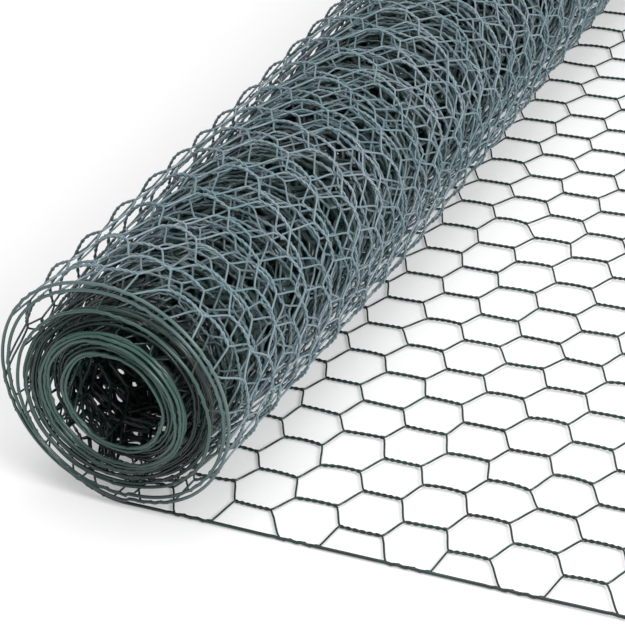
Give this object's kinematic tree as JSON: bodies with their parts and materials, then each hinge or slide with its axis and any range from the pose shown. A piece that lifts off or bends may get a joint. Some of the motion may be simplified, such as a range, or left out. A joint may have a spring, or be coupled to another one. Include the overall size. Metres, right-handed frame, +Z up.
{
  "type": "roll of hexagonal wire netting",
  "caption": "Roll of green coated chicken wire lying on the floor, tightly coiled with an open bore, two loose outer turns and its end unrolled as a flat tail.",
  "frame": {"origin": "bottom centre of the bounding box, on the floor that the roll and its tail lie on", "axes": "+X along the netting, from the roll to the cut end of the tail, +Y along the roll's axis, +Z up"},
  "size_m": [0.4822, 0.6, 0.1106],
  "materials": {
    "coated_wire": "dark green PVC coating on galvanised steel wire, glossy"
  },
  "bodies": {
    "root": {"coil": "coated_wire", "loose_turns": "coated_wire", "tail_root": "coated_wire", "tail_middle": "coated_wire", "tail_end": "coated_wire"}
  },
  "joints": []
}
